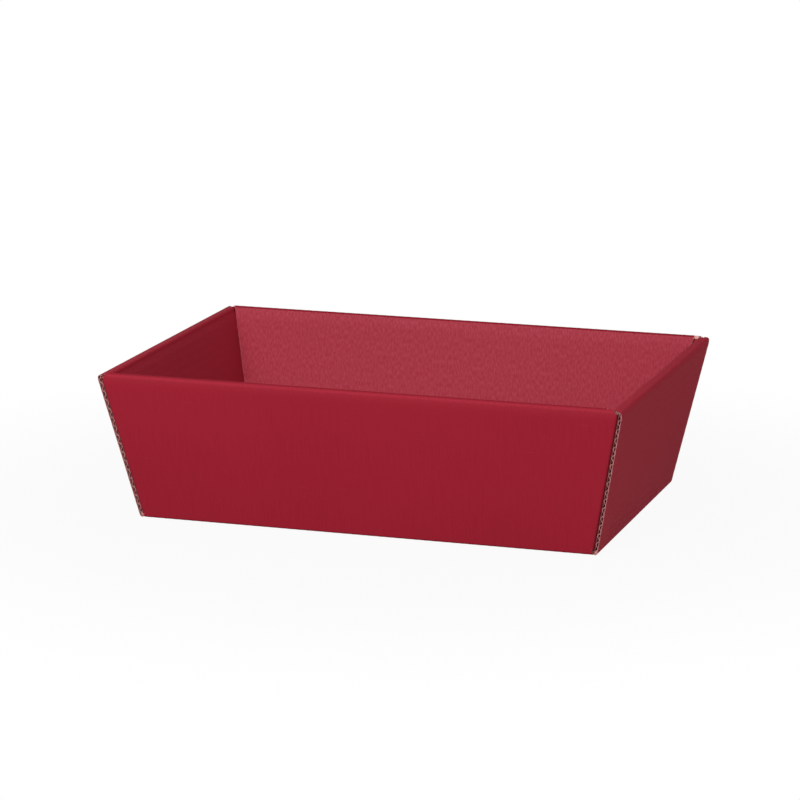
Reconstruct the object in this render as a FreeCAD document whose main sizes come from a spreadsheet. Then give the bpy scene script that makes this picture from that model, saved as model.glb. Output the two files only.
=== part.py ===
import FreeCAD, Part
import math
import os
import Sketcher
from FreeCAD import Placement, Rotation, Vector

# Open tray folded from one die-cut blank of single-wall corrugated board.
# All four walls lean outwards. The two long walls roll over at the rim into an inner panel, and go
# on round the corners as flaps. The two end walls lie outside those flaps, roll over the top of them
# and hold them behind their own inner panels. The flutes run along Y, so the end walls' outer panels
# show the wave of the board on their cut edges.
# Origin: middle of the underside of the base. X runs along the long walls, Z is up.

SIZES = (
    ("base_length", 323.0, "base along X, outside the folds"),
    ("base_width", 205.0, "base along Y, outside the folds"),
    ("wall_height", 102.8, "underside of the base to the top of the end rims"),
    ("long_rim_rise", 1.2, "long rims above the end rims"),
    ("flare", 21.5, "outward lean of every wall over wall_height"),
    ("board", 2.6, "thickness of the board"),
    ("layer_gap", 0.25, "air between two layers lying on each other"),
    ("fold_radius", 2.0, "outside of the folds round the base"),
    ("rim_radius", 2.0, "outside of the double creases at the rims"),
    ("rim_board", 1.4, "board pressed thin across the end rims"),
    ("corner_radius", 1.6, "outside of the upright corner folds"),
    ("corner_bend", 0.4, "inside of the upright corner folds"),
    ("flap_reach", 70.0, "corner flap along the end wall"),
    ("flap_clearance", 0.4, "corner flap below the rim that covers it"),
    ("corner_notch", 1.3, "die-cut notch under each corner fold"),
    ("rim_chamfer", 2.2, "drop of the cut corner beside each long rim"),
    ("rim_end_gap", 2.9, "end of a long rim to the end of the rim that covers the flaps"),
    ("inner_side_gap", 1.5, "side of a long inner panel to the end wall's inner panel"),
    ("panel_inset", 0.5, "end wall's cut edge behind the long wall's face"),
    ("foot_gap", 0.3, "foot of the inner panels above the base"),
    ("tab_width", 34.0, "lock tab on the foot of an inner panel"),
    ("tab_recess", 0.4, "end of a lock tab above the underside"),
    ("end_tab_spread", 92.0, "between the middles of an end wall's two tabs"),
    ("long_tab_spread", 178.0, "between the middles of a long wall's two tabs"),
    ("slot_clearance", 0.4, "slot round a lock tab"),
    ("flute_pitch", 6.4, "one wave of the medium"),
    ("liner", 0.25, "paper on each face of the board"),
    ("medium", 0.25, "paper of the wave"),
    ("glue_line", 0.7, "width of the wave where it touches a liner"),
    ("flute_crown", 2.0, "width of the round top of a wave"),
    ("crown_rise", 0.4, "height of the round top of a wave"),
    ("crushed_foot", 3.0, "board pressed flat at the base fold, measured up the wall"),
    ("crushed_rim", 2.6, "board pressed flat at the rim crease, measured down the wall"),
)

MARGIN = "5"
WALL_DEPTH = "(4 * dims.board)"
TOUCH = 0.01
LEAN = "(dims.flare / dims.wall_height)"
TILT = "atan(dims.flare / dims.wall_height)"
LEVEL = f"sqrt(1 + {LEAN} ^ 2)"
LONG_TOP = "(dims.wall_height + dims.long_rim_rise)"

OUTER_BACK = "dims.board"
SECOND_FACE = "(dims.board + dims.layer_gap)"
SECOND_BACK = "(2 * dims.board + dims.layer_gap)"
THIRD_FACE = "(2 * dims.board + 2 * dims.layer_gap)"
THIRD_BACK = "(3 * dims.board + 2 * dims.layer_gap)"
BESIDE_RIM = "(dims.board + 1.5 * dims.layer_gap)"

TONGUE = "(1.5 * dims.board + dims.layer_gap)"
INNER_FOOT = "(dims.board + dims.foot_gap)"
CORNER_INSIDE = "(dims.corner_bend + dims.board)"
UNDER_END_RIM = "(dims.wall_height - dims.rim_board)"
STUB_HEIGHT = f"({LONG_TOP} - 2 * dims.board)"
MOST_ROUND = "0.9 * dims.board"
FOLD_RADIUS = f"min(dims.fold_radius; {MOST_ROUND})"
RIM_RADIUS = f"min(dims.rim_radius; {MOST_ROUND})"
CORNER_RADIUS = f"min(dims.corner_radius; {MOST_ROUND})"


def end_face(height, depth="0"):
    """X of an end wall's surface at a height and a depth below its outer face."""
    return f"(dims.base_length / 2 + ({height}) * {LEAN} - ({depth}) * {LEVEL})"


def side_face(height, depth="0"):
    """Y of a long wall's surface at a height and a depth below its outer face."""
    return f"(dims.base_width / 2 + ({height}) * {LEAN} - ({depth}) * {LEVEL})"


RIM_END = f"({end_face(LONG_TOP, TONGUE)} - dims.rim_end_gap)"


def up_wall(height):
    """Distance up a leaning wall that belongs to a height."""
    return f"(({height}) * {LEVEL})"


def number(item, expression):
    """Value of an expression over the sheet."""
    return float(item.evalExpression(expression))


def add_sheet(doc):
    """Put the driving dimensions into the sheet, one alias to a row."""
    sheet = doc.addObject("Spreadsheet::Sheet", "dims")
    for row, (alias, size, note) in enumerate(SIZES, start=1):
        sheet.set(f"A{row}", note)
        sheet.set(f"B{row}", str(size))
        sheet.setAlias(f"B{row}", alias)
    doc.recompute()


def add_body(doc, name, label):
    """A body with a name of its own."""
    body = doc.addObject("PartDesign::Body", name)
    body.Label = label
    body.Placement = Placement()
    return body


def origin_plane(body, role):
    """One of the body's own origin planes."""
    return [feature for feature in body.Origin.OriginFeatures if feature.Role == role][0]


def add_sketch(body, name, role):
    """An empty sketch on one of the body's origin planes."""
    sketch = body.newObject("Sketcher::SketchObject", name)
    sketch.AttachmentSupport = (origin_plane(body, role), [""])
    sketch.MapMode = "FlatFace"
    return sketch


def lean_on_wall(sketch, half_size, depth):
    """Lay a sketch against a leaning wall, at a depth below its outer face; its Y runs up the wall.

    The turn of one degree only gives the axis, since the expression gives the angle.
    """
    sketch.AttachmentOffset = Placement(Vector(), Rotation(Vector(1, 0, 0), 1))
    sketch.setExpression("AttachmentOffset.Base.z", f"{half_size} / 2 - ({depth}) * {LEVEL}")
    sketch.setExpression("AttachmentOffset.Rotation.Angle", TILT)


def pin(sketch, edge, end, point):
    """Tie one end of an edge to two expressions for its place."""
    for kind, place in zip(("DistanceX", "DistanceY"), point):
        size = number(sketch, place)
        index = sketch.addConstraint(Sketcher.Constraint(kind, -1, 1, edge, end, size))
        sketch.setExpression(f"Constraints[{index}]", place)


def add_outline(sketch, points):
    """A closed outline of straight edges with every corner pinned."""
    corners = [Vector(*(number(sketch, place) for place in point)) for point in points]
    first = sketch.GeometryCount
    for index, corner in enumerate(corners):
        following = corners[(index + 1) % len(corners)]
        sketch.addGeometry(Part.LineSegment(corner, following), False)
    for index, point in enumerate(points):
        following = (index + 1) % len(points)
        sketch.addConstraint(Sketcher.Constraint("Coincident", first + index, 2, first + following, 1))
        pin(sketch, first + index, 1, point)


def both_sides(points):
    """The outline and its mirror image in the sketch's Y axis."""
    return points, [(f"-{across}", up) for across, up in reversed(points)]


def symmetric(half_low, low, half_high, high):
    """A four-cornered outline about the sketch's Y axis, with its own width at each height."""
    return [(f"-{half_low}", low), (half_low, low), (half_high, high), (f"-{half_high}", high)]


def add_wedge(body, kind, name, low, high, depth_x, depth_y):
    """A straight-sided block between two heights, whose four sides lie on the walls' leaning planes."""
    wedge = body.newObject(kind, name)
    wedge.AttachmentSupport = (origin_plane(body, "XZ_Plane"), [""])
    wedge.MapMode = "FlatFace"
    wedge.setExpression("Ymin", low)
    wedge.setExpression("Ymax", high)
    for end, height in (("", low), ("2", high)):
        for axis, half in (("X", end_face(height, depth_x)), ("Z", side_face(height, depth_y))):
            wedge.setExpression(f"{axis}{end}min", f"-{half}")
            wedge.setExpression(f"{axis}{end}max", half)
    body.Document.recompute()
    return wedge


def add_pad(body, sketch, name, length, inwards=False):
    """A pad: through the sketch's plane both ways, or one way into the wall."""
    pad = body.newObject("PartDesign::Pad", name)
    pad.Profile = sketch
    pad.SideType = "One side" if inwards else "Symmetric"
    pad.Reversed = inwards
    pad.setExpression("Length", length)
    body.Document.recompute()
    return pad


def cut_through(body, sketch, name, length):
    """A pocket that runs right through the body on both sides of the sketch's plane."""
    pocket = body.newObject("PartDesign::Pocket", name)
    pocket.Profile = sketch
    pocket.SideType = "Symmetric"
    pocket.setExpression("Length", length)
    body.Document.recompute()
    return pocket


def cut_one_way(body, sketch, name, length, along_normal=False):
    """A pocket of one length, against the sketch's normal unless it is turned round."""
    pocket = body.newObject("PartDesign::Pocket", name)
    pocket.Profile = sketch
    pocket.Reversed = along_normal
    pocket.setExpression("Length", length)
    body.Document.recompute()
    return pocket


def round_edges(body, name, chosen, radius):
    """Round the edges of the body's last feature for which chosen says yes."""
    base = body.Tip
    names = [f"Edge{index}" for index, edge in enumerate(base.Shape.Edges, start=1) if chosen(edge)]
    fillet = body.newObject("PartDesign::Fillet", name)
    fillet.Base = (base, names)
    fillet.setExpression("Radius", radius)
    body.Document.recompute()
    return fillet


def on_any(edge, axis, points):
    """Whether an edge lies on one of the lines through some points along an axis."""
    return any(all((corner.Point - point).cross(axis).Length < TOUCH for corner in edge.Vertexes)
               for point in points)


def stands_on(edge, half_x, half_y):
    """Whether an edge has an end on one of the four level corners at these distances."""
    return any(abs(abs(corner.X) - half_x) < TOUCH and abs(abs(corner.Y) - half_y) < TOUCH
               for corner in edge.Vertexes) and edge.BoundBox.ZLength > TOUCH


def make_base(doc):
    """The bottom panel with its four folds and the slots for the lock tabs."""
    body = add_body(doc, "BasePanel", "base_panel")
    add_wedge(body, "PartDesign::AdditiveWedge", "BaseSlab", "0", "dims.board", "0", "0")
    round_edges(body, "BaseFolds", lambda edge: edge.BoundBox.ZMax < TOUCH, FOLD_RADIUS)
    slots = add_sketch(body, "LockSlots", "XY_Plane")
    half_slot = "(dims.tab_width / 2 + dims.slot_clearance)"
    end_inside = f"({end_face('0', THIRD_BACK)} - dims.slot_clearance)"
    end_outside = f"({end_face('dims.board', THIRD_FACE)} + dims.slot_clearance)"
    long_inside = f"({side_face('0', SECOND_BACK)} - dims.slot_clearance)"
    long_outside = f"({side_face('0', OUTER_BACK)} + dims.slot_clearance)"
    for turn in ("-", ""):
        end_middle, long_middle = f"({turn}dims.end_tab_spread / 2)", "(dims.long_tab_spread / 2)"
        near, far = f"({end_middle} - {half_slot})", f"({end_middle} + {half_slot})"
        for slot in both_sides([(end_inside, near), (end_outside, near),
                                (end_outside, far), (end_inside, far)]):
            add_outline(slots, slot)
        inside, outside = f"({turn}{long_inside})", f"({turn}{long_outside})"
        near, far = f"({long_middle} - {half_slot})", f"({long_middle} + {half_slot})"
        for slot in both_sides([(near, inside), (far, inside), (far, outside), (near, outside)]):
            add_outline(slots, slot)
    cut_one_way(body, slots, "LockSlotCuts", "2 * dims.board", along_normal=True)
    return body


def make_long_panels(doc):
    """Outer panels of both long walls with their corner folds and corner flaps."""
    body = add_body(doc, "LongPanels", "long_panels")
    top, foot = LONG_TOP, "dims.board"
    add_wedge(body, "PartDesign::AdditiveWedge", "PanelOutside", foot, top, SECOND_FACE, "0")
    add_wedge(body, "PartDesign::SubtractiveWedge", "PanelInside", f"({foot} - {MARGIN})",
              f"({top} + {MARGIN})", SECOND_BACK, OUTER_BACK)
    for name, depth_x, depth_y, radius in (("CornerOutside", SECOND_FACE, "0", CORNER_RADIUS),
                                           ("CornerInside", SECOND_BACK, OUTER_BACK, "dims.corner_bend")):
        place = number(body, end_face(foot, depth_x)), number(body, side_face(foot, depth_y))
        round_edges(body, name, lambda edge, place=place: stands_on(edge, *place), radius)

    flap_ends = add_sketch(body, "BetweenFlaps", "YZ_Plane")
    low, high = f"(-{MARGIN})", f"({top} + {MARGIN})"
    add_outline(flap_ends, symmetric(f"({side_face(low)} - dims.flap_reach)", low,
                                     f"({side_face(high)} - dims.flap_reach)", high))
    cut_through(body, flap_ends, "FlapEnds", "2 * dims.base_length")

    flap_top = f"({UNDER_END_RIM} - dims.flap_clearance)"
    under_rim = add_sketch(body, "UnderEndRims", "YZ_Plane")
    inside_corner = side_face(flap_top, CORNER_INSIDE)
    add_outline(under_rim, symmetric(inside_corner, flap_top, inside_corner, high))
    cut_through(body, under_rim, "FlapTops", "2 * dims.base_length")

    rim_seat = add_sketch(body, "RimSeat", "XZ_Plane")
    add_outline(rim_seat, symmetric(RIM_END, STUB_HEIGHT, RIM_END, high))
    cut_through(body, rim_seat, "RimSeatCut", "2 * dims.base_width")

    corner_tops = add_sketch(body, "CornerTops", "XZ_Plane")
    chamfer_end = f"({end_face(flap_top, TONGUE)} - dims.layer_gap)"
    beyond = f"({end_face(high)} + {MARGIN})"
    for shape in both_sides([(RIM_END, high), (RIM_END, top), (chamfer_end, f"({top} - dims.rim_chamfer)"),
                             (chamfer_end, flap_top), (beyond, flap_top), (beyond, high)]):
        add_outline(corner_tops, shape)
    cut_through(body, corner_tops, "CornerTopCuts", "2 * dims.base_width")

    notches = add_sketch(body, "CornerNotches", "XZ_Plane")
    notch_top = "(dims.board + dims.corner_notch)"
    notch_side = f"({end_face('dims.board', SECOND_FACE)} - {CORNER_INSIDE})"
    for shape in both_sides([(notch_side, low), (beyond, low), (beyond, notch_top), (notch_side, notch_top)]):
        add_outline(notches, shape)
    cut_through(body, notches, "CornerNotchCuts", "2 * dims.base_width")
    return body


def make_long_rollover(doc):
    """Rim and inner panel of the front long wall."""
    body = add_body(doc, "LongRollover", "front_rollover")
    ribbon = add_sketch(body, "RolloverSection", "YZ_Plane")
    fold = f"({LONG_TOP} - dims.board)"
    add_outline(ribbon, [(f"-{side_face(height, depth)}", height) for height, depth in (
        (STUB_HEIGHT, "0"), (LONG_TOP, "0"), (LONG_TOP, SECOND_BACK), (INNER_FOOT, SECOND_BACK),
        (INNER_FOOT, SECOND_FACE), (fold, SECOND_FACE), (fold, OUTER_BACK), (STUB_HEIGHT, OUTER_BACK))])
    add_pad(body, ribbon, "Rollover", f"2 * {RIM_END}")
    top = number(body, LONG_TOP)
    creases = [Vector(0, -number(body, side_face(LONG_TOP, depth)), top) for depth in ("0", SECOND_BACK)]
    round_edges(body, "RimCreases", lambda edge: on_any(edge, Vector(1, 0, 0), creases), RIM_RADIUS)

    sides = add_sketch(body, "InnerPanelSides", "XZ_Plane")
    lean_on_wall(sides, "dims.base_width", "dims.board + dims.layer_gap / 2")
    low, high = f"(-{MARGIN})", f"({LONG_TOP} + {MARGIN})"
    clear = f"({THIRD_BACK} + dims.inner_side_gap / {LEVEL})"
    for shape in both_sides([(end_face(low, clear), up_wall(low)), (end_face(high), up_wall(low)),
                             (end_face(high), up_wall(high)), (end_face(high, clear), up_wall(high))]):
        add_outline(sides, shape)
    cut_one_way(body, sides, "InnerPanelSideCuts", WALL_DEPTH)

    tabs = add_sketch(body, "LongTabs", "XZ_Plane")
    lean_on_wall(tabs, "dims.base_width", SECOND_FACE)
    add_tabs(tabs, "dims.long_tab_spread")
    add_pad(body, tabs, "LongTabPads", "dims.board", inwards=True)
    return body


def add_tabs(sketch, spread):
    """Two lock tabs on the foot of an inner panel, drawn on the leaning wall."""
    near, far = f"({spread} / 2 - dims.tab_width / 2)", f"({spread} / 2 + dims.tab_width / 2)"
    low, high = up_wall("dims.tab_recess"), up_wall(f"({INNER_FOOT} + dims.board)")
    for shape in both_sides([(near, low), (far, low), (far, high), (near, high)]):
        add_outline(sketch, shape)


def add_flute(sketch, foot, crown, middle):
    """One hollow between a liner and the wave: flat on the liner, straight flanks, round crown.

    Foot and crown are its places through the board, and middle is its place up the wall.
    """
    half_foot = "(dims.flute_pitch / 2 - dims.glue_line / 2)"
    half_crown = "(dims.flute_crown / 2)"
    radius = f"(({half_crown} ^ 2 + dims.crown_rise ^ 2) / (2 * dims.crown_rise))"
    towards = 1 if number(sketch, crown) > number(sketch, foot) else -1
    shoulder = f"({crown} - {towards} * dims.crown_rise)"
    low_foot, high_foot = ((foot, f"({middle} {way} {half_foot})") for way in "-+")
    low_crown, high_crown = ((shoulder, f"({middle} {way} {half_crown})") for way in "-+")
    corners = [Vector(*(number(sketch, place) for place in point))
               for point in (high_foot, low_foot, low_crown, high_crown)]
    base = sketch.addGeometry(Part.LineSegment(corners[0], corners[1]), False)
    low_flank = sketch.addGeometry(Part.LineSegment(corners[1], corners[2]), False)
    high_flank = sketch.addGeometry(Part.LineSegment(corners[3], corners[0]), False)
    bend = number(sketch, radius)
    centre = Vector(number(sketch, crown) - towards * bend, number(sketch, middle))
    facing = 0 if towards > 0 else math.pi
    half_angle = math.asin(number(sketch, half_crown) / bend)
    circle = Part.Circle(centre, Vector(0, 0, 1), bend)
    arc = sketch.addGeometry(Part.ArcOfCircle(circle, facing - half_angle, facing + half_angle), False)
    low_end, high_end = (1, 2) if towards > 0 else (2, 1)
    for line, end, other, other_end in ((base, 2, low_flank, 1), (low_flank, 2, arc, low_end),
                                        (arc, high_end, high_flank, 1), (high_flank, 2, base, 1)):
        sketch.addConstraint(Sketcher.Constraint("Coincident", line, end, other, other_end))
    for edge, end, point in ((base, 1, high_foot), (low_flank, 1, low_foot),
                             (arc, low_end, low_crown), (high_flank, 1, high_crown)):
        pin(sketch, edge, end, point)
    index = sketch.addConstraint(Sketcher.Constraint("Radius", arc, bend))
    sketch.setExpression(f"Constraints[{index}]", radius)


def add_flutes(body):
    """Hollows of the flutes through the end wall's outer panel, one wave at a time up the wall."""
    wave = add_sketch(body, "Flute", "XZ_Plane")
    wave.AttachmentOffset = Placement(Vector(), Rotation(Vector(0, 0, 1), -1))
    wave.setExpression("AttachmentOffset.Base.x", "dims.base_length / 2")
    wave.setExpression("AttachmentOffset.Rotation.Angle", f"-{TILT}")
    first_middle = "(dims.crushed_foot + dims.flute_pitch / 2)"
    add_flute(wave, "-dims.liner", "(dims.liner + dims.medium - dims.board)", first_middle)
    add_flute(wave, "(dims.liner - dims.board)", "-(dims.liner + dims.medium)",
              f"({first_middle} + dims.flute_pitch / 2)")
    flute = cut_through(body, wave, "FluteCut", f"2 * {side_face('dims.wall_height')}")
    row = body.newObject("PartDesign::LinearPattern", "FluteRow")
    row.Originals = [flute]
    row.Direction = (wave, ["V_Axis"])
    row.Mode = "Spacing"
    row.setExpression("Offset", "dims.flute_pitch")
    usable = f"({up_wall('dims.wall_height')} - dims.crushed_foot - dims.crushed_rim)"
    row.setExpression("Occurrences", f"floor(({usable} - dims.flute_pitch / 2) / dims.flute_pitch)")
    body.Tip = row
    body.Document.recompute()


def make_end_wall(doc):
    """Right end wall: outer panel with open flutes, rim, inner panel and lock tabs."""
    body = add_body(doc, "EndWall", "right_end_wall")
    ribbon = add_sketch(body, "EndWallSection", "XZ_Plane")
    top = "dims.wall_height"
    add_outline(ribbon, [(end_face(height, depth), height) for height, depth in (
        ("dims.board", "0"), (top, "0"), (top, THIRD_BACK), (INNER_FOOT, THIRD_BACK),
        (INNER_FOOT, THIRD_FACE), (UNDER_END_RIM, THIRD_FACE), (UNDER_END_RIM, OUTER_BACK),
        ("dims.board", OUTER_BACK))])
    add_pad(body, ribbon, "EndWallRibbon", f"2 * {side_face(top)}")
    rim_edges = [number(body, end_face(top, depth)) for depth in ("0", THIRD_BACK)]
    creases = [Vector(place, 0, number(body, top)) for place in rim_edges]
    round_edges(body, "EndRimCreases", lambda edge: on_any(edge, Vector(0, 1, 0), creases), RIM_RADIUS)

    low, high = f"(-{MARGIN})", f"({top} + {MARGIN})"
    beyond = f"({side_face(high)} + {MARGIN})"
    panel_sides = add_sketch(body, "EndPanelSides", "YZ_Plane")
    for shape in both_sides([(f"({side_face(low)} - dims.panel_inset)", low), (beyond, low),
                             (beyond, high), (f"({side_face(high)} - dims.panel_inset)", high)]):
        add_outline(panel_sides, shape)
    cut_through(body, panel_sides, "EndPanelSideCuts", "2 * dims.base_length")

    inner_sides = add_sketch(body, "InnerEndPanelSides", "YZ_Plane")
    lean_on_wall(inner_sides, "dims.base_length", TONGUE)
    for shape in both_sides([(side_face(low, BESIDE_RIM), up_wall(low)), (beyond, up_wall(low)),
                             (beyond, up_wall(high)), (side_face(high, BESIDE_RIM), up_wall(high))]):
        add_outline(inner_sides, shape)
    cut_one_way(body, inner_sides, "InnerEndPanelSideCuts", WALL_DEPTH)
    add_flutes(body)

    tabs = add_sketch(body, "EndTabs", "YZ_Plane")
    lean_on_wall(tabs, "dims.base_length", THIRD_FACE)
    add_tabs(tabs, "dims.end_tab_spread")
    add_pad(body, tabs, "EndTabPads", "dims.board", inwards=True)
    return body


def mirror(doc, name, label, source, normal):
    """The same piece on the other side of the tray."""
    copy = doc.addObject("Part::Mirroring", name)
    copy.Label = label
    copy.Source = source
    copy.Base = Vector(0, 0, 0)
    copy.Normal = normal
    return copy


def make_tray(doc):
    """The whole blank, joined at its folds."""
    front, right = make_long_rollover(doc), make_end_wall(doc)
    back = mirror(doc, "BackRollover", "back_rollover", front, Vector(0, 1, 0))
    left = mirror(doc, "LeftEndWall", "left_end_wall", right, Vector(1, 0, 0))
    tray = doc.addObject("Part::MultiFuse", "FoldedTray")
    tray.Label = "folded_tray"
    tray.Shapes = [make_base(doc), make_long_panels(doc), front, back, right, left]
    tray.Refine = True
    tray.Placement = Placement()
    doc.recompute()
    return tray


def check(doc, node):
    """Stop unless every object is sound and the node is one valid solid."""
    failed = [item.Label for item in doc.Objects if {"Invalid", "Error"} & set(item.State)]
    if failed:
        raise RuntimeError(f"objects that failed: {failed}")
    if node.Shape.isNull() or not node.Shape.isValid() or len(node.Shape.Solids) != 1:
        raise RuntimeError(f"{node.Label} isn't one valid solid")


def main():
    doc = FreeCAD.newDocument("CardboardTray")
    add_sheet(doc)
    tray = make_tray(doc)
    check(doc, tray)
    os.makedirs("parts", exist_ok=True)
    tray.Shape.exportStep(f"parts/{tray.Label}.step")
    box = tray.Shape.BoundBox
    print(f"{tray.Label}: {box.XLength:.1f} x {box.YLength:.1f} x {box.ZLength:.1f} mm,"
          f" {tray.Shape.Volume / 1000:.0f} cm3, {len(tray.Shape.Faces)} faces")


main()
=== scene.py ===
import math

import bpy
import numpy as np
from mathutils import Matrix, Vector


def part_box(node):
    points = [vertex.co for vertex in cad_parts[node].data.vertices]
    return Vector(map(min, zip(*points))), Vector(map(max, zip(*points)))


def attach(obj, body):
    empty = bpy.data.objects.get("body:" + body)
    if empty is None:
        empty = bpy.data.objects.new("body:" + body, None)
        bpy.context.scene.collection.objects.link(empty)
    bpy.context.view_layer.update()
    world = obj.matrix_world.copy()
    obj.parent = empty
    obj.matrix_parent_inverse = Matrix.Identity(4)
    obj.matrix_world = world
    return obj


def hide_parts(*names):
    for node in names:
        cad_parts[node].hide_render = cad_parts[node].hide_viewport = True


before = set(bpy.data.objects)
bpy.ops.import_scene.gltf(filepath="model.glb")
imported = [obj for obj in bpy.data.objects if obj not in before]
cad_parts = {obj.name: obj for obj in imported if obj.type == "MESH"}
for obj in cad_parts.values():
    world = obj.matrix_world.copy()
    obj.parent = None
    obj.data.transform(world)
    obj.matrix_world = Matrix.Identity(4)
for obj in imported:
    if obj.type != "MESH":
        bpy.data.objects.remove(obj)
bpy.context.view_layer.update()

# Looks of an open tray folded from one blank of red corrugated board.
# Lengths are in millimetres up to the meshes, which are in metres. Depths are measured into the board,
# square to its outer face.

MM = 0.001
TRAY = "folded_tray"
RIM_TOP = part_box(TRAY)[1].z / MM

# The blank, as it is folded.
BASE_LENGTH = 323.0
BASE_WIDTH = 205.0
END_RIM_TOP = RIM_TOP - 1.2
FLARE = 21.5
BOARD = 2.6
LAYER_GAP = 0.25
FOLD_RADIUS = 2.0
RIM_RADIUS = 2.0
CORNER_RADIUS = 1.6
INSIDE_BEND = 0.1
RIM_BOARD = 1.4
FLAP_REACH = 70.0
FLAP_TOP = END_RIM_TOP - RIM_BOARD - 0.4
NOTCH_TOP = BOARD + 1.3
NOTCH_REACH = 1.6
CHAMFER_DROP = 2.4
RIM_END_GAP = 2.9
INNER_SIDE_GAP = 1.5
INNER_DRIFT = 1.3
DRIFT_RISE = 25.0
PANEL_INSET = 0.5
FOOT = BOARD + 0.3
TAB_END = 0.4
TAB_WIDTH = 34.0
END_TAB_SPREAD = 92.0
LONG_TAB_SPREAD = 178.0
SLOT_CLEARANCE = 0.4

# The board's papers, and how they are crushed at the folds and sag between the flutes.
FLUTE_PITCH = 6.4
LINER = 0.38
MEDIUM = 0.34
TIP_FLATTENING = 1.3
WASHBOARD = 0.05
CRUSH_REACH = 2.8
CRUSHED_WAVE = 0.7
CRUSHED_CORE = 0.9
ROLL_REACH = 6.5
ROLL_DEPTH = 0.5

# The cut edges.
LINER_WOBBLE = 0.1
CUT_WOBBLE = 0.25
CUT_RECESS = 0.9
MEDIUM_SEED = 1.7

# Marks on the red paper: shares of a paler red along the outer rim crease, over the end walls' inner panels
# and beside the inner panels' cut sides; a paler red over the long walls' inner panels that is painted
# sheen; and a darker red on the long walls' rims that is painted shade.
RIM_CREASE_PALER = 0.16
RIM_PAINTED_SHADE = 0.3
END_INNER_PALER = 0.12
LONG_INNER_SHEEN = 0.8
PALE_REACH = 9.0
CUT_SIDE_PALER = 0.5
CUT_SIDE_REACH = 1.6
RIM_MARGIN = 1.0

# The papers' finish.
LAID_PITCH = 1.75
LAID_DRIFT = 0.4
RAW_ROUGHNESS = 0.85
RAW_SPECULAR = 0.2

# Steps of the grids. A stretch with the shares of FROM_ITS_END adds no point before its end.
ARC_STEPS = 8
FLAP_STEPS = 12
FINE_STEP = 0.4
RELIEF_STEP = 0.8
TAB_STEP = 1.0
PANEL_STEP = 4.0
WIDE_STEP = 6.0
FLUTE_STEP = 24.0
EDGE_ROW = 0.2
ROUNDING = 0.01
FROM_ITS_END = np.ones(1)
RIM_SHARES = np.array([0, 0.45, 0.55, 1])
SHARP_ANGLE = math.radians(35)
FLOOR_REACH = 9000.0

LEAN = FLARE / END_RIM_TOP
LEVEL = math.hypot(1, LEAN)
SECOND_FACE = BOARD + LAYER_GAP
SECOND_BACK = SECOND_FACE + BOARD
THIRD_FACE = SECOND_BACK + LAYER_GAP
THIRD_BACK = THIRD_FACE + BOARD
BESIDE_RIM = BOARD + 1.5 * LAYER_GAP
TONGUE = 1.5 * BOARD + LAYER_GAP
FOLD_CUT = FOLD_RADIUS * math.tan((math.pi / 2 - math.atan(LEAN)) / 2)


def end_face(height, depth=0.0):
    """X of an end wall's surface: half the base, plus the lean, less the depth measured level."""
    return BASE_LENGTH / 2 + height * LEAN - depth * LEVEL


def side_face(height, depth=0.0):
    """Y of a long wall's surface, worked out as an end wall's is."""
    return BASE_WIDTH / 2 + height * LEAN - depth * LEVEL


RIM_END = end_face(RIM_TOP, TONGUE) - RIM_END_GAP


class Value:
    """A number that varies over a surface. Arithmetic on it adds Math nodes to its finish."""

    def __init__(self, finish, socket):
        self.finish = finish
        self.socket = socket

    def math(self, operation, *others):
        inputs = dict(enumerate((self, *others)))
        return self.finish.node("ShaderNodeMath", {"operation": operation}, inputs)

    def __add__(self, other):
        return self.math("ADD", other)

    def __sub__(self, other):
        return self.math("SUBTRACT", other)

    def __rsub__(self, other):
        return self.finish.node("ShaderNodeMath", {"operation": "SUBTRACT"}, {0: other, 1: self})

    def __mul__(self, other):
        return self.math("MULTIPLY", other)

    __radd__ = __add__
    __rmul__ = __mul__


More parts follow.
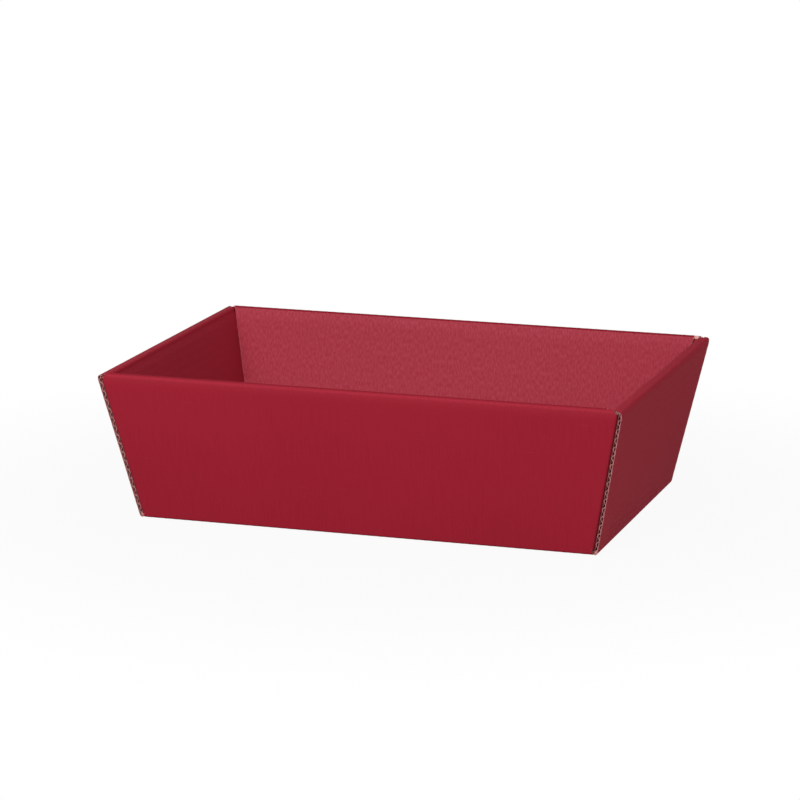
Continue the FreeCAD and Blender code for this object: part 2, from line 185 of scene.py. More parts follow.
class Finish:
    """A material or world while its nodes are added."""

    def __init__(self, owner):
        owner.use_nodes = True
        self.owner = owner
        self.tree = owner.node_tree
        self.tree.nodes.clear()

    def node(self, kind, settings=None, sockets=None, output=0):
        """Add a node: its settings first, then the values or links of its sockets. Returns one output."""
        made = self.tree.nodes.new(kind)
        for name, setting in (settings or {}).items():
            setattr(made, name, setting)
        for name, given in (sockets or {}).items():
            if isinstance(given, Value):
                self.tree.links.new(given.socket, made.inputs[name])
            else:
                made.inputs[name].default_value = given
        return Value(self, made.outputs[output]) if made.outputs else None

    def mix(self, share, first, second):
        """Colour between two colours: first + (second - first) * share.

        The node has sockets of one name for each kind of data, so those for colours are told by number.
        """
        return self.node("ShaderNodeMix", {"data_type": "RGBA"}, {0: share, 6: first, 7: second}, 2)

    def noise(self, place, scale, detail=2.0, roughness=0.5):
        """Noise from 0 to 1 at a place."""
        return self.node("ShaderNodeTexNoise", None,
                         {"Vector": place, "Scale": scale, "Detail": detail, "Roughness": roughness})

    def between(self, value, low, high, start=0.0, end=1.0):
        """Value carried from the range low to high to the range start to end.

        It follows a smooth step, and is held at both ends.
        """
        return self.node("ShaderNodeMapRange", {"interpolation_type": "SMOOTHSTEP"},
                         {0: value, 1: low, 2: high, 3: start, 4: end})

    def blank(self):
        """Place on the flat blank in metres: across the flutes, and along them."""
        flat = self.node("ShaderNodeUVMap", {"uv_map": "blank"})
        return tuple(self.node("ShaderNodeSeparateXYZ", None, {0: flat}, axis) for axis in ("X", "Y"))

    def grain(self, cells_across, cells_along, detail=3.0, roughness=0.5):
        """Noise on the flat blank, with so many cells a metre across the flutes and along them."""
        across, along = self.blank()
        place = self.node("ShaderNodeCombineXYZ", None, {0: across * cells_across, 1: along * cells_along})
        return self.noise(place, 1.0, detail, roughness)

    def place(self):
        """Place on the object, in metres."""
        return self.node("ShaderNodeTexCoord", None, None, "Object")

    def fibres(self):
        """Short fibres of raw paper, as fine noise from 0 to 1."""
        return self.noise(self.place(), 2600.0, 4.0, 0.7)

    def attribute(self, name):
        """One of the mesh's own numbers."""
        return self.node("ShaderNodeAttribute", {"attribute_name": name}, None, "Fac")

    def looked_at(self, share=1.0):
        """A share for rays from the camera, 1 for glossy and transmitted rays, and 0 for all others."""
        camera, glossy, transmitted = (self.node("ShaderNodeLightPath", None, None, f"Is {ray} Ray")
                                       for ray in ("Camera", "Glossy", "Transmission"))
        return (camera * share + glossy + transmitted).math("MINIMUM", 1.0)

    def surface(self, sockets):
        """Close the material with its one shader."""
        shader = self.node("ShaderNodeBsdfPrincipled", None, sockets)
        self.node("ShaderNodeOutputMaterial", None, {"Surface": shader})
        return self.owner


def colour(red, green, blue):
    """Linear colour with full alpha from a displayed one in 0 to 255, by the curve of sRGB."""
    shown = np.array([red, green, blue]) / 255
    linear = np.where(shown <= 0.04045, shown / 12.92, ((shown + 0.055) / 1.055) ** 2.4)
    return (*map(float, linear), 1.0)


def red_paper():
    """Matt deep red paper with fine laid lines along the flutes, faint streaks, scuffs, paler marks,
    painted sheen and painted shade.

    The laid lines are a sine across the flutes that noise draws aside and fades. The colour runs between a
    deep and a light red with the streaks. The mesh's number above 0 mixes in a paler red in patches, which
    over the long walls' inner panels is painted sheen. Below 0 it mixes in a darker red, which is painted
    shade on the rims.
    """
    finish = Finish(bpy.data.materials.new("red_laid_paper"))
    across, _ = finish.blank()
    aside = finish.grain(90, 18) * (LAID_DRIFT * MM)
    laid = ((across + aside) * (math.tau / (LAID_PITCH * MM))).math("SINE")
    strength = finish.between(finish.grain(60, 25), 0.3, 0.75)
    streak = finish.grain(1500, 40, 4.0, 0.6)
    cloud = finish.noise(finish.place(), 9.0, 3.0)
    marks_and_painted_light = finish.attribute("marks_and_painted_light")
    patches = finish.between(finish.grain(900, 300), 0.25, 0.8, 0.4, 1.0)
    # A paler red in patches: painted sheen over the long walls' inner panels, and paler marks elsewhere.
    pale_marks_and_sheen = marks_and_painted_light.math("MAXIMUM", 0) * patches
    # Painted shade: the share of darker red on the long walls' rims.
    painted_rim_shade = (0 - marks_and_painted_light).math("MAXIMUM", 0)
    scuff = finish.between(finish.grain(55, 900, 2.0), 0.66, 0.8)
    tone = finish.between(streak + (cloud - 0.5) * 0.5, 0.25, 0.75)
    shade = finish.mix(tone, colour(151, 29, 46), colour(158, 32, 49))
    # Painted sheen and paler marks, as a paler red.
    shade = finish.mix(pale_marks_and_sheen * 0.7, shade, colour(200, 90, 104))
    shade = finish.mix(scuff * 0.06, shade, colour(200, 110, 118))
    # Painted shade on the rims, as a darker red.
    shade = finish.mix(painted_rim_shade, shade, colour(96, 10, 26))
    height = laid * strength * 0.5 + streak * 0.9
    bump = finish.node("ShaderNodeBump", None, {"Strength": 0.3, "Distance": 0.00007, "Height": height})
    return finish.surface({"Base Color": shade, "Roughness": 0.7 + streak * 0.12,
                           "Specular IOR Level": 0.08, "Normal": bump})


def raw_paper(name, dark, light):
    """Unprinted paper with short fibres, as inside the board and on its cut edges.

    The colour runs from dark to light with the fibres and with larger clumps of them.
    """
    finish = Finish(bpy.data.materials.new(name))
    fibres = finish.fibres()
    clumps = finish.noise(finish.place(), 420.0, 3.0)
    shade = finish.mix(finish.between(fibres * 0.6 + clumps * 0.4, 0.3, 0.7), dark, light)
    bump = finish.node("ShaderNodeBump", None, {"Strength": 0.6, "Distance": 0.00012, "Height": fibres})
    return finish.surface({"Base Color": shade, "Roughness": RAW_ROUGHNESS,
                           "Specular IOR Level": RAW_SPECULAR, "Normal": bump})


def cut_edge():
    """Cut edge of the board: both liners, the wave between them where the cut meets it, and the hollows
    between them, painted darker as their shade.

    Depth is the share of the board's thickness. The wave is a sine about its middle, and paper shows where
    the depth is close to it or to a liner; elsewhere the open flutes get a darker colour, painted shade.
    Where the mesh's number for marks and painted light isn't 0, the board is drawn pressed shut and paler.
    """
    finish = Finish(bpy.data.materials.new("board_cut_edge"))
    across, _ = finish.blank()
    depth = finish.attribute("depth")
    fibres = finish.fibres()
    half_core = 0.36
    swing = (across * (math.tau / (FLUTE_PITCH * MM))).math("SINE") * half_core + 0.5
    paper = 1 - finish.between((depth - swing).math("ABSOLUTE"), 0.05, 0.12)
    liner = finish.between((depth - 0.5).math("ABSOLUTE"), half_core, 0.42)
    pressed = finish.between(finish.attribute("marks_and_painted_light").math("ABSOLUTE"), 0.03, 0.12)
    solid = paper.math("MAXIMUM", liner).math("MAXIMUM", pressed)
    paper_shade = finish.mix(fibres, colour(196, 128, 126), colour(222, 160, 156))
    pressed_shade = finish.mix(fibres, colour(226, 168, 160), colour(246, 204, 196))
    # The darker colour where no paper is cut is painted shade in the open flutes.
    shade = finish.mix(solid, colour(150, 96, 94), paper_shade)
    shade = finish.mix(pressed, shade, pressed_shade)
    height = solid + fibres * 0.3
    bump = finish.node("ShaderNodeBump", None, {"Strength": 0.8, "Distance": 0.0003, "Height": height})
    return finish.surface({"Base Color": shade, "Roughness": RAW_ROUGHNESS,
                           "Specular IOR Level": RAW_SPECULAR, "Normal": bump})


def stations(marks, step):
    """Places from the first mark to the last, with every mark among them and at most a step apart."""
    spans = [np.linspace(low, high, math.ceil((high - low) / step) + 1)[:-1]
             for low, high in zip(marks, marks[1:])]
    return np.concatenate([*spans, marks[-1:]])


def folded_line(corners, radii, shares):
    """Points along a folded line in a plane.

    A straight run has its points at the given shares of its length, the last of which belongs to the next
    stretch. Each inner corner with a radius becomes an arc that starts radius * tan(turn / 2) before it:
    start + radius * (sin(angle) * ahead + (1 - cos(angle)) * aside). A corner without one stays sharp.
    """
    corners = np.asarray(corners, float)
    ahead = np.diff(corners, axis=0)
    ahead /= np.linalg.norm(ahead, axis=1, keepdims=True)
    start = corners[0]
    pieces = []
    for corner, radius, share, way, following in zip(corners[1:], radii, shares, ahead, ahead[1:]):
        turned = float(way @ following)
        turn = math.acos(turned)
        aside = (following - way * turned) / math.sin(turn) if turn > 1e-6 else way * 0
        cut = radius * math.tan(turn / 2)
        end = corner - way * cut
        angle = np.linspace(0, turn, ARC_STEPS if radius else 0, endpoint=False)[:, None]
        pieces += [start + (end - start) * share[:-1, None],
                   end + radius * (np.sin(angle) * way + (1 - np.cos(angle)) * aside)]
        start = corner + following * cut
    pieces.append(start + (corners[-1] - start) * shares[-1][:, None])
    return np.concatenate(pieces)


def both_faces(face, back, shares):
    """The board's face and back as folded lines with the same shares, so that their points pair up."""
    return (folded_line(face, [FOLD_RADIUS, RIM_RADIUS, RIM_RADIUS, 0], shares),
            folded_line(back, [INSIDE_BEND, INSIDE_BEND, INSIDE_BEND, 0], shares))


def travelled(line):
    """Distance along a line of points."""
    return np.concatenate([[0.0], np.cumsum(np.linalg.norm(np.diff(line, axis=0), axis=1))])


def drawn_in(places, straight, half_width, half_range):
    """Places across a panel: kept as they are near the middle, and drawn in or out towards its edges.

    Beyond the straight part, the rest of the range is scaled to the rest of each row's half width.
    """
    beyond = np.maximum(np.abs(places)[:, None] - straight, 0) / (half_range - straight)
    kept = np.minimum(np.abs(places)[:, None], straight)
    return np.sign(places)[:, None] * (kept + beyond * (half_width[None, :] - straight))


def wave(across):
    """Side view of the medium, from -1 at the outer liner to 1 at the inner: a sine with flattened tips.

    The height is tanh(k * sine) / tanh(k).
    """
    return np.tanh(TIP_FLATTENING * np.sin(math.tau * across / FLUTE_PITCH)) / math.tanh(TIP_FLATTENING)


def wave_slope(across):
    """How fast the wave rises along the board, the derivative of its height.

    It is the sine's own slope times k * (1 - tanh(k * sine) squared) / tanh(k).
    """
    angle = math.tau * across / FLUTE_PITCH
    rise = math.tau / FLUTE_PITCH * np.cos(angle)
    flattened = 1 - np.tanh(TIP_FLATTENING * np.sin(angle)) ** 2
    return TIP_FLATTENING / math.tanh(TIP_FLATTENING) * rise * flattened


def near(distance, folds, reach):
    """1 on a fold, falling to 0 along a smooth step at a reach from it."""
    gap = np.min(np.abs(distance[:, None] - np.asarray(folds)[None, :]), axis=1)
    share = np.clip(1 - gap / reach, 0, 1)
    return share * share * (3 - 2 * share)


def rolled(distance, folds):
    """How far the face is pressed in beside the two rim creases, as a share of the board's thickness.

    It is greatest on each crease, and falls along a smooth step to 0 down the wall and in the rim's middle.
    """
    first, second = folds
    outwards = np.maximum(first - distance, distance - second) / ROLL_REACH
    inwards = np.minimum(distance - first, second - distance) / ((second - first) / 2)
    share = np.clip(1 - np.where(outwards > 0, outwards, inwards), 0, 1)
    return share * share * (3 - 2 * share) * ROLL_DEPTH / BOARD


def fold_marks(distance, slant, rim):
    """Distances of the base fold and the two rim creases, each taken from the line's nearest point.

    The wall's slant lies between the first two, and the rim's depth, measured level, between the others.
    """
    folds = (FOLD_CUT, FOLD_CUT + slant, FOLD_CUT + slant + rim * LEVEL)
    return [distance[np.argmin(np.abs(distance - fold))] for fold in folds]


def tab_edges(spread):
    """Sides of a wall's two tabs, in order: half their spread, with half a tab's width less and more."""
    near_edge, far_edge = (spread - TAB_WIDTH) / 2, (spread + TAB_WIDTH) / 2
    return [-far_edge, -near_edge, near_edge, far_edge]


def in_tabs(places, spread):
    """True for places across a wall that lie within one of its two tabs."""
    return np.abs(np.abs(places) - spread / 2) < TAB_WIDTH / 2


def washboard(swing):
    """How far the outer and inner liner sag into the board, as shares of its thickness.

    Each touches the medium where the wave swings towards it, and sags most half a pitch from there.
    """
    return WASHBOARD / BOARD * (1 + swing) / 2, WASHBOARD / BOARD * (1 - swing) / 2


def ragged(distance, seed):
    """A cut edge's small unevenness, from -1 to 1: three sines of unlike lengths."""
    return (np.sin(distance / 9.1 + seed) + 0.6 * np.sin(distance / 2.9 + 2.3 * seed)
            + 0.4 * np.sin(distance / 1.1 + 4.1 * seed)) / 2


def sheet(name, face, back, keep, blank, marks_and_painted_light, finishes):
    """A closed sheet between two grids of points, with one finish each for its face, back and sides.

    Each kept cell has a quad on the face, the same quad turned round on the back, and a quad between the
    two wherever the next cell isn't kept. If the enclosed volume comes out negative, every quad is turned.
    The volume is a sixth of the sum of first point . (second point x third point) over the triangles, and
    only its sign is used.
    """
    across, up = face.shape[:2]
    count = across * up
    number = np.arange(count).reshape(across, up)
    first, second = np.nonzero(keep)
    cells = np.stack([number[first, second], number[first + 1, second],
                      number[first + 1, second + 1], number[first, second + 1]], axis=1)
    padded = np.pad(keep, 1)
    strips = []
    for side, (step_across, step_up) in enumerate(((0, -1), (1, 0), (0, 1), (-1, 0))):
        bare = ~padded[first + 1 + step_across, second + 1 + step_up]
        start, end = cells[bare, side], cells[bare, (side + 1) % 4]
        strips.append(np.stack([end, start, start + count, end + count], axis=1))
    strips = np.concatenate(strips)
    quads = np.concatenate([cells, cells[:, ::-1] + count, strips])
    kinds = np.repeat([0, 1, 2], [len(cells), len(cells), len(strips)])
    used, quads = np.unique(quads, return_inverse=True)
    quads = quads.reshape(-1, 4)
    points = np.concatenate([face.reshape(-1, 3), back.reshape(-1, 3)])[used] * MM
    corners = points[quads]
    volume = sum(np.einsum("ij,ij->i", corners[:, 0], np.cross(corners[:, i], corners[:, i + 1])).sum()
                 for i in (1, 2))
    if volume < 0:
        quads = quads[:, ::-1]

    mesh = bpy.data.meshes.new(name)
    mesh.vertices.add(len(points))
    mesh.vertices.foreach_set("co", points.ravel())
    mesh.loops.add(quads.size)
    mesh.loops.foreach_set("vertex_index", quads.ravel().astype(np.int32))
    mesh.polygons.add(len(quads))
    mesh.polygons.foreach_set("loop_start", np.arange(0, quads.size, 4, dtype=np.int32))
    mesh.polygons.foreach_set("material_index", kinds.astype(np.int32))
    mesh.update(calc_edges=True)
    flat = np.concatenate([blank.reshape(-1, 2)] * 2)[used] * MM
    mesh.uv_layers.new(name="blank").data.foreach_set("uv", flat[quads.ravel()].ravel())
    depth = np.repeat([0.0, 1.0], count)[used]
    painted_light_and_marks = np.tile(np.broadcast_to(marks_and_painted_light, (across, up)).ravel(), 2)[used]
    # Depth into the board, and the number for paler marks, painted sheen and painted shade.
    for title, numbers in (("depth", depth), ("marks_and_painted_light", painted_light_and_marks)):
        mesh.attributes.new(title, "FLOAT", "POINT").data.foreach_set("value", numbers.astype(np.float32))
    mesh.shade_smooth()
    mesh.set_sharp_from_angle(angle=SHARP_ANGLE)
    for finish in finishes:
        mesh.materials.append(finish)
    piece = bpy.data.objects.new(name, mesh)
    bpy.context.scene.collection.objects.link(piece)
    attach(piece, "root")
    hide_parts(TRAY)


def even(length, step):
    """Shares of a run from 0 to 1, in equal steps of no more than a given length."""
    return np.linspace(0, 1, max(2, math.ceil(length / step) + 1))


def end_wall_lines(step):
    """Face and back of an end wall's board as X and Z, from the base fold over the rim to the tabs."""
    under_rim = END_RIM_TOP - RIM_BOARD
    face = [(end_face(0) - FOLD_CUT, 0), (end_face(0), 0), (end_face(END_RIM_TOP), END_RIM_TOP),
            (end_face(END_RIM_TOP, THIRD_BACK), END_RIM_TOP), (end_face(FOOT, THIRD_BACK), FOOT),
            (end_face(TAB_END, THIRD_BACK), TAB_END)]
    back = [(end_face(0) - FOLD_CUT, BOARD), (end_face(BOARD, BOARD), BOARD),
            (end_face(under_rim, BOARD), under_rim), (end_face(under_rim, THIRD_FACE), under_rim),
            (end_face(FOOT, THIRD_FACE), FOOT), (end_face(TAB_END, THIRD_FACE), TAB_END)]
    slant = END_RIM_TOP * LEVEL
    shares = [FROM_ITS_END, even(slant, step), even(THIRD_BACK, FINE_STEP), even(slant, step),
              even(FOOT - TAB_END, TAB_STEP)]
    return both_faces(face, back, shares)


def make_end_wall(title, side, papers):
    """An end wall of three papers: outer liner, wavy medium and inner liner, open at the cut edges.

    Every paper follows the folded line of the board at its own share of the depth, so a point is
    face + (back - face) * share, carried straight along Y. The medium's share swings with the wave, and
    each of its faces lies half its thickness from there, which is widened on the slopes by
    sqrt(1 + slope * slope). At the folds the swing fades and the medium fills most of the core.
    """
    red, raw, outer, inner = papers
    tabs = tab_edges(END_TAB_SPREAD)
    straight = tabs[-1] + WIDE_STEP
    half_range = side_face(END_RIM_TOP)
    for layer, step, wide in (("outer_liner", RELIEF_STEP, WIDE_STEP), ("flutes", FINE_STEP, FLUTE_STEP),
                              ("inner_liner", RELIEF_STEP, WIDE_STEP)):
        face, back = end_wall_lines(step)
        distance = travelled(face)
        folds = fold_marks(distance, END_RIM_TOP * LEVEL, THIRD_BACK)
        crushed = near(distance, folds, CRUSH_REACH)
        across = BASE_LENGTH / 2 - FOLD_CUT + distance
        swing = wave(across) * (1 - CRUSHED_WAVE * crushed)
        core = 1 - 2 * LINER / BOARD
        slope = wave_slope(across) * (BOARD - 2 * LINER - MEDIUM) / 2
        thick = MEDIUM * np.hypot(1, slope) / BOARD
        thick = thick + (CRUSHED_CORE * core - thick) * crushed
        sag_out, sag_in = washboard(swing)
        middle = 0.5 + swing * (core - thick) / 2 * (1 - crushed)
        low, high = {"outer_liner": (sag_out, sag_out + LINER / BOARD),
                     "flutes": (middle - thick / 2, middle + thick / 2),
                     "inner_liner": (1 - LINER / BOARD - sag_in, 1 - sag_in)}[layer]
        heights = face[:, 1]
        beyond_tongue = (distance > folds[1]) & (face[:, 0] < end_face(END_RIM_TOP, TONGUE))
        half = np.where(beyond_tongue, side_face(heights, BESIDE_RIM), side_face(heights) - PANEL_INSET)
        half = half + LINER_WOBBLE * ragged(distance, side) * ~beyond_tongue
        if layer == "flutes":
            half = half - CUT_RECESS - CUT_WOBBLE * ragged(distance, side + MEDIUM_SEED)
        if layer == "inner_liner":
            half = half - CUT_RECESS * ~beyond_tongue
        places = stations([-half_range, *tabs, half_range], wide)
        y = drawn_in(places, straight, half, half_range)
        keep = np.ones((len(places) - 1, len(distance) - 1), bool)
        centres = (places[1:] + places[:-1]) / 2
        beside_tabs = ~in_tabs(centres, END_TAB_SPREAD)
        keep[beside_tabs] &= (heights[:-1] > FOOT + ROUNDING) | (distance[:-1] < folds[1])
        pressed = rolled(distance, folds[1:])
        grids = []
        for share in (low, high):
            line = face + (back - face) * (pressed + share * (1 - pressed))[:, None]
            grids.append(np.stack([np.broadcast_to(side * line[:, 0], y.shape), y,
                                   np.broadcast_to(line[:, 1], y.shape)], axis=-1))
        blank = np.stack([np.broadcast_to(across, y.shape), y], axis=-1)
        # A slightly paler red over the inner panel.
        marks_and_painted_light = (END_INNER_PALER * (distance > folds[2]))[None, :]
        # The inner liner's cut edges take the darker edge finish, which is painted shade of their recess.
        finishes = {"outer_liner": (red, raw, outer), "flutes": (raw, raw, raw),
                    "inner_liner": (raw, red, inner)}[layer]
        sheet(f"{title}_{layer}", *grids, keep, blank, marks_and_painted_light, finishes)


def long_wall_lines():
    """Face and back of a long wall's board as Y and Z, from the base fold over the rim to the tabs.

    The outer panel has rows where the flap starts and ends and where the chamfer starts, and the rim has
    a narrow strip at its middle, within which its inner half begins.
    """
    under_rim = RIM_TOP - BOARD
    face = [(side_face(0) - FOLD_CUT, 0), (side_face(0), 0), (side_face(RIM_TOP), RIM_TOP),
            (side_face(RIM_TOP, SECOND_BACK), RIM_TOP), (side_face(FOOT, SECOND_BACK), FOOT),
            (side_face(TAB_END, SECOND_BACK), TAB_END)]
    back = [(side_face(0) - FOLD_CUT, BOARD), (side_face(BOARD, BOARD), BOARD),
            (side_face(under_rim, BOARD), under_rim), (side_face(under_rim, SECOND_FACE), under_rim),
            (side_face(FOOT, SECOND_FACE), FOOT), (side_face(TAB_END, SECOND_FACE), TAB_END)]
    rim_cut = RIM_RADIUS * math.tan((math.pi / 2 + math.atan(LEAN)) / 2)
    low = FOLD_CUT / LEVEL
    high = RIM_TOP - rim_cut / LEVEL
    marks = [low, BOARD, NOTCH_TOP - EDGE_ROW, NOTCH_TOP, FLAP_TOP, FLAP_TOP + EDGE_ROW,
             RIM_TOP - CHAMFER_DROP, high]
    panel = (stations(marks, PANEL_STEP) - low) / (high - low)
    shares = [FROM_ITS_END, panel, RIM_SHARES, even(RIM_TOP, PANEL_STEP), even(FOOT - TAB_END, TAB_STEP)]
    return both_faces(face, back, shares)


def corner_and_flap(line, depth, radius, wall_depth):
    """X and Y of a corner fold and its flap, and the X where the fold starts, for each point of a line.

    The fold is a quarter circle about a centre one radius inside both walls: centre + radius * sin(angle)
    in X and centre + radius * cos(angle) in Y. The flap then runs on level along the end wall to its reach.
    """
    heights = line[:, 1]
    bend = radius * LEVEL
    centre_x, centre_y = end_face(heights, depth) - bend, side_face(heights, wall_depth) - bend
    angle = np.linspace(0, math.pi / 2, ARC_STEPS + 1)[1:, None]
    arc = centre_x + bend * np.sin(angle), centre_y + bend * np.cos(angle)
    share = np.linspace(0, 1, FLAP_STEPS + 1)[1:, None]
    reach = side_face(heights) - FLAP_REACH
    flap = (np.broadcast_to(end_face(heights, depth), (len(share), len(heights))),
            centre_y + (reach - centre_y) * share)
    return np.concatenate([arc[0], flap[0]]), np.concatenate([arc[1], flap[1]]), centre_x


def make_long_wall(title, side, papers):
    """A long wall of one board: outer panel, corner folds and flaps, rim, inner panel and lock tabs.

    The wall's folded line is carried along X. Beside the outer panel's rows the sheet goes on round the
    corners. The liners sag a little between the flutes, whose tips lie a pitch apart along X. The inner
    panel drifts to the left in proportion to its height above the foot, up to a limit.
    """
    red, edge = papers
    face, back = long_wall_lines()
    distance = travelled(face)
    heights = face[:, 1]
    folds = fold_marks(distance, RIM_TOP * LEVEL, SECOND_BACK)
    outside = distance < folds[1]
    inner_half = ~outside & (face[:, 0] < side_face(RIM_TOP, (BOARD + SECOND_FACE) / 2))
    panel = outside & (heights >= NOTCH_TOP - ROUNDING) & (heights <= FLAP_TOP + ROUNDING)

    turned = {}
    for name, line, depth, radius, wall_depth in (("face", face, SECOND_FACE, CORNER_RADIUS, 0.0),
                                                  ("back", back, SECOND_BACK, INSIDE_BEND, BOARD)):
        turned[name] = corner_and_flap(line, depth, radius, wall_depth)
    corner_start = turned["face"][2]
    chamfer = np.interp(heights, [RIM_TOP - CHAMFER_DROP, RIM_TOP], [0, 1])
    half = corner_start + (RIM_END - corner_start) * chamfer
    half = np.where(heights < NOTCH_TOP - ROUNDING, end_face(NOTCH_TOP, SECOND_BACK) + NOTCH_REACH, half)
    half = np.where(inner_half, end_face(heights, THIRD_BACK) - INNER_SIDE_GAP, half)

    half_range = corner_start.max()
    tabs = tab_edges(LONG_TAB_SPREAD)
    straight = tabs[-1] + WIDE_STEP
    places = stations([-half_range, *tabs, half_range], RELIEF_STEP)
    drift = -INNER_DRIFT * inner_half * np.clip((heights - FOOT) / DRIFT_RISE, 0, 1)
    x = drawn_in(places, straight, half, half_range) + drift
    around = len(turned["face"][0])
    widths = {"face": half, "back": np.where(panel, turned["back"][2], half)}
    grids = {}
    for name, line in (("face", face), ("back", back)):
        turned_x, turned_y, _ = turned[name]
        middle_x = drawn_in(places, straight, widths[name], half_range) + drift
        middle_y = np.broadcast_to(line[:, 0], middle_x.shape)
        grid_x = np.concatenate([-turned_x[::-1], middle_x, turned_x])
        grid_y = np.concatenate([turned_y[::-1], middle_y, turned_y])
        grids[name] = np.stack([grid_x, side * grid_y, np.broadcast_to(line[:, 1], grid_x.shape)], axis=-1)
    columns = len(grids["face"])
    steps = np.linalg.norm(np.diff(grids["face"][..., :2], axis=0), axis=-1)
    run = np.concatenate([np.zeros((1, len(distance))), np.cumsum(steps, axis=0)])
    across = np.zeros_like(run)
    across[around:columns - around] = x
    across[:around] = x[:1] - (run[around] - run[:around])
    across[columns - around:] = x[-1:] + (run[columns - around:] - run[columns - around - 1])
    blank = np.stack([across, np.broadcast_to(distance, across.shape)], axis=-1)

    sag_out, sag_in = washboard(wave(across))
    through = grids["back"] - grids["face"]
    sunk = (sag_out + rolled(distance, folds[1:])[None, :])[..., None]
    risen = sag_in[..., None]
    keep = np.zeros((columns - 1, len(distance) - 1), bool)
    middle_cells = slice(around, columns - around - 1)
    keep[middle_cells] = True
    centres = (places[1:] + places[:-1]) / 2
    lower_rows = ~outside[:-1] & (heights[:-1] < FOOT + ROUNDING)
    keep[middle_cells] &= in_tabs(centres, LONG_TAB_SPREAD)[:, None] | ~lower_rows[None, :]
    panel_rows = panel[:-1] & panel[1:]
    keep[:around] = panel_rows
    keep[columns - around - 1:] = panel_rows
    # A paler red along the outer rim crease; over the inner panel a paler red that is painted sheen,
    # fullest at the inner crease; on the rim a darker red that is painted shade.
    past_rim = distance > folds[2] - RIM_MARGIN
    on_rim = (distance > folds[1] + RIM_MARGIN) & (distance < folds[2] - RIM_MARGIN)
    outer_crease_paler = RIM_CREASE_PALER * near(distance, folds[1:2], PALE_REACH) * outside
    inner_painted_sheen = (LONG_INNER_SHEEN + (1 - LONG_INNER_SHEEN) * near(distance, folds[2:], PALE_REACH)) * past_rim
    painted_light_and_marks = np.where(on_rim, -RIM_PAINTED_SHADE, np.maximum(outer_crease_paler, inner_painted_sheen))
    marks_and_painted_light = np.broadcast_to(painted_light_and_marks[None, :], across.shape).copy()
    # A paler red beside the inner panel's cut sides.
    beside = np.clip(1 - (half[None, :] - np.abs(x - drift)) / CUT_SIDE_REACH, 0, 1)
    marks_and_painted_light[around:columns - around] += CUT_SIDE_PALER * beside * (distance > folds[2])
    sheet(title, grids["face"] + through * sunk, grids["back"] - through * risen, keep, blank, marks_and_painted_light,
          (red, red, edge))


def make_base(papers):
    """The bottom panel between its four folds, with the slots that the lock tabs stand in.

    A level sheet on a grid of X and Y whose lines run along the sides of the slots. Its faces sag between
    the flutes as the walls' do.
    """
    red, edge = papers
    half_slot = TAB_WIDTH / 2 + SLOT_CLEARANCE
    end_slot = (end_face(0, THIRD_BACK) - SLOT_CLEARANCE, end_face(BOARD, THIRD_FACE) + SLOT_CLEARANCE)
    long_slot = (side_face(0, SECOND_BACK) - SLOT_CLEARANCE, side_face(BOARD, BOARD) + SLOT_CLEARANCE)
    end_span = (END_TAB_SPREAD / 2 - half_slot, END_TAB_SPREAD / 2 + half_slot)
    long_span = (LONG_TAB_SPREAD / 2 - half_slot, LONG_TAB_SPREAD / 2 + half_slot)
    half_x, half_y = end_face(0) - FOLD_CUT, side_face(0) - FOLD_CUT
    marks_x = sorted({turn * mark for mark in (*end_slot, *long_span, half_x) for turn in (-1, 1)})
    marks_y = sorted({turn * mark for mark in (*long_slot, *end_span, half_y) for turn in (-1, 1)})
    xs, ys = stations(marks_x, RELIEF_STEP), stations(marks_y, WIDE_STEP)
    x, y = np.meshgrid(xs, ys, indexing="ij")
    middle_x, middle_y = np.meshgrid((xs[1:] + xs[:-1]) / 2, (ys[1:] + ys[:-1]) / 2, indexing="ij")

    def within(places, span):
        return (np.abs(places) > span[0]) & (np.abs(places) < span[1])

    keep = ~(within(middle_x, end_slot) & within(middle_y, end_span))
    keep &= ~(within(middle_x, long_span) & within(middle_y, long_slot))
    sag_under, sag_over = washboard(wave(x))
    under = np.stack([x, y, BOARD * sag_under], axis=-1)
    over = np.stack([x, y, BOARD * (1 - sag_over)], axis=-1)
    sheet("base_panel", under, over, keep, np.stack([x, y], axis=-1), np.zeros_like(x), (red, red, edge))


def make_floor():
    """A wide level floor that keeps a faint shadow.

    It glows white where it is looked at, a little less so close to the tray, and is matt to other rays.
    """
    corners = np.array([[-1, -1, 0], [1, -1, 0], [1, 1, 0], [-1, 1, 0]]) * (FLOOR_REACH * MM)
    mesh = bpy.data.meshes.new("floor")
    mesh.from_pydata(corners.tolist(), [], [(0, 1, 2, 3)])
    finish = Finish(bpy.data.materials.new("white_floor"))
    matt = finish.node("ShaderNodeBsdfDiffuse", None, {"Color": (0.4, 0.4, 0.4, 1)})
    glow = finish.node("ShaderNodeEmission", None, {"Color": (1, 1, 1, 1), "Strength": 1.0})
    away = finish.node("ShaderNodeVectorMath", {"operation": "LENGTH"}, {0: finish.place()}, "Value")
    seen = finish.looked_at(finish.between(away, 0.2, 0.5, 0.94, 1.0))
    mixed = finish.node("ShaderNodeMixShader", None, {0: seen, 1: matt, 2: glow})
    finish.node("ShaderNodeOutputMaterial", None, {"Surface": mixed})
    mesh.materials.append(finish.owner)
    floor = bpy.data.objects.new("floor", mesh)
    bpy.context.scene.collection.objects.link(floor)


def make_world():
    """Dim even light from all round, and white where it is looked at."""
    world = bpy.data.worlds.new("studio")
    bpy.context.scene.world = world
    finish = Finish(world)
    ambient = finish.node("ShaderNodeBackground", None, {"Color": (1, 1, 1, 1), "Strength": 0.16})
    white = finish.node("ShaderNodeBackground", None, {"Color": (1, 1, 1, 1), "Strength": 1.0})
    mixed = finish.node("ShaderNodeMixShader", None, {0: finish.looked_at(), 1: ambient, 2: white})
    finish.node("ShaderNodeOutputWorld", None, {"Surface": mixed})


def direction(azimuth, elevation):
    """Unit vector from the tray towards a place given by two angles in degrees. Azimuth 0 is the front."""
    turn, rise = math.radians(azimuth), math.radians(elevation)
    return Vector((math.sin(turn) * math.cos(rise), -math.cos(turn) * math.cos(rise), math.sin(rise)))


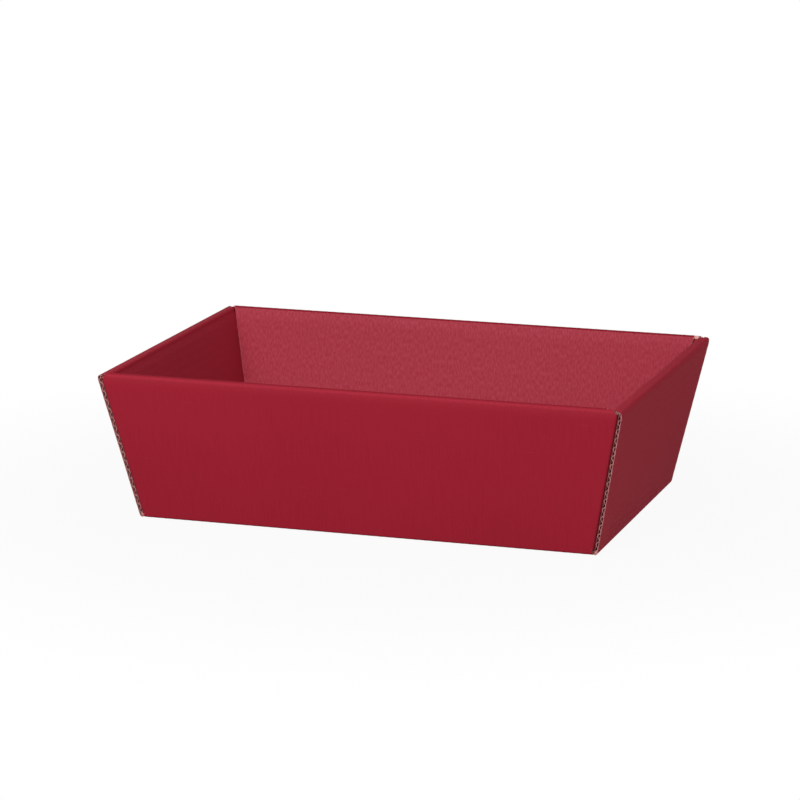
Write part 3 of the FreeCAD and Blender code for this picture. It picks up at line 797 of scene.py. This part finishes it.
def softbox(name, azimuth, elevation, distance, size, power):
    """A square soft lamp that looks at the middle of the tray. Distance and size are in metres."""
    lamp = bpy.data.lights.new(name, "AREA")
    lamp.shape = "SQUARE"
    lamp.size = size
    lamp.energy = power
    way = direction(azimuth, elevation)
    holder = bpy.data.objects.new(name, lamp)
    holder.location = way * distance + Vector((0, 0, RIM_TOP * MM / 2))
    holder.rotation_euler = way.to_track_quat("Z", "Y").to_euler()
    bpy.context.scene.collection.objects.link(holder)


def make_camera():
    """A long lens in front of the tray, to the right and a little above.

    It looks along one direction, moved aside and up from the line through the middle of the base.
    """
    azimuth, elevation = 18.02, 12.94
    distance, aside, above = 2479.0, -7.47, 69.3
    focal_pixels, frame_pixels = 3555.0, 800.0
    back = direction(azimuth, elevation)
    right = Vector((0, 0, 1)).cross(back).normalized()
    up = back.cross(right)
    place = (right * aside + up * above + back * distance) * MM
    data = bpy.data.cameras.new("camera")
    data.sensor_width = 36.0
    data.lens = focal_pixels / frame_pixels * data.sensor_width
    camera = bpy.data.objects.new("camera", data)
    turn = Matrix((right, up, back)).transposed().to_4x4()
    camera.matrix_world = Matrix.Translation(place) @ turn
    bpy.context.scene.collection.objects.link(camera)
    bpy.context.scene.camera = camera


def main():
    """Build every piece with its papers, then the floor, the light and the camera."""
    red = red_paper()
    raw = raw_paper("raw_flute_paper", colour(182, 124, 122), colour(214, 154, 150))
    outer = raw_paper("outer_liner_edge", colour(168, 110, 112), colour(206, 144, 144))
    # The inner liner's cut edge is darker: painted shade of its recess behind the outer liner and the
    # corner fold.
    inner = raw_paper("inner_liner_edge_painted_shade", colour(110, 56, 58), colour(150, 88, 90))
    edge = cut_edge()
    make_base((red, edge))
    for title, side in (("front_wall", -1), ("back_wall", 1)):
        make_long_wall(title, side, (red, edge))
    for title, side in (("left_end", -1), ("right_end", 1)):
        make_end_wall(title, side, (red, raw, outer, inner))
    make_floor()
    make_world()
    softbox("key", azimuth=-7, elevation=30, distance=1.6, size=0.8, power=21.3)
    softbox("side", azimuth=95, elevation=25, distance=2.6, size=1.8, power=21)
    softbox("back", azimuth=240, elevation=8, distance=2.6, size=1.8, power=16)
    make_camera()
    bpy.context.scene.view_settings.view_transform = "Standard"


main()
